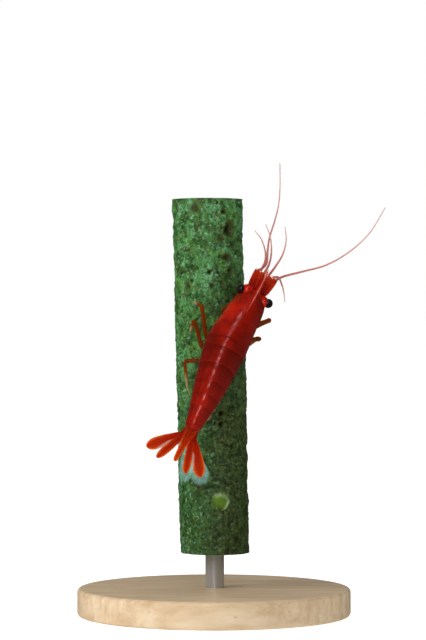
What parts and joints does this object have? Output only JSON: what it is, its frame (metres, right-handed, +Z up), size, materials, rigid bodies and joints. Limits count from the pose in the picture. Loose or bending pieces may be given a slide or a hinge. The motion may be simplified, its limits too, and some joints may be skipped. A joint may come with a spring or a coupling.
{
  "type": "aquarium shrimp",
  "caption": "Red dwarf freshwater shrimp, life size, clinging head up to a cut length of green stem held by a rod over a flat round wooden base.",
  "frame": {"origin": "middle of the underside of the round base, on the surface it stands on", "axes": "+Z up; +X to the right of someone facing the shrimp's back, who stands on the -Y side; the head points up and towards +X"},
  "size_m": [0.0394, 0.035, 0.0576],
  "materials": {
    "shell": "deep cherry red, translucent, wet and glossy",
    "limb": "orange red, paler at the tips, glossy",
    "fan": "translucent orange red, satin",
    "feeler": "pinkish, partly see-through, glossy",
    "eye": "black, polished",
    "stem": "mottled green bark, pitted, damp",
    "wood": "pale beech, satin lacquer",
    "steel": "brushed along the rod"
  },
  "bodies": {
    "root": {"antenna_base_l": "limb", "antenna_base_r": "limb", "antenna_l": "feeler", "antenna_r": "feeler", "antennal_scale_l": "fan", "antennal_scale_r": "fan", "antennule_feeler_l_inner": "feeler", "antennule_feeler_l_outer": "feeler", "antennule_feeler_r_inner": "feeler", "antennule_feeler_r_outer": "feeler", "antennule_l": "limb", "antennule_r": "limb", "carapace": "shell", "claw_leg_l_1": "limb", "claw_leg_l_2": "limb", "claw_leg_r_1": "limb", "claw_leg_r_2": "limb", "eye_l": "eye", "eye_r": "eye", "eyestalk_l": "shell", "eyestalk_r": "shell", "head_front": "shell", "maxilliped_l": "limb", "maxilliped_r": "limb", "perch_stem": "stem", "rostrum": "shell", "somite_1": "shell", "somite_2": "shell", "somite_3": "shell", "somite_4": "shell", "somite_5": "shell", "somite_6": "shell", "stand_base": "wood", "stand_rod": "steel", "swimmeret_l_1": "fan", "swimmeret_l_2": "fan", "swimmeret_l_3": "fan", "swimmeret_l_4": "fan", "swimmeret_l_5": "fan", "swimmeret_r_1": "fan", "swimmeret_r_2": "fan", "swimmeret_r_3": "fan", "swimmeret_r_4": "fan", "swimmeret_r_5": "fan", "telson": "fan", "uropod_inner_l": "fan", "uropod_inner_r": "fan", "uropod_outer_l": "fan", "uropod_outer_r": "fan", "walking_leg_l_3": "limb", "walking_leg_l_4": "limb", "walking_leg_l_5": "limb", "walking_leg_r_3": "limb", "walking_leg_r_4": "limb", "walking_leg_r_5": "limb"}
  },
  "joints": []
}
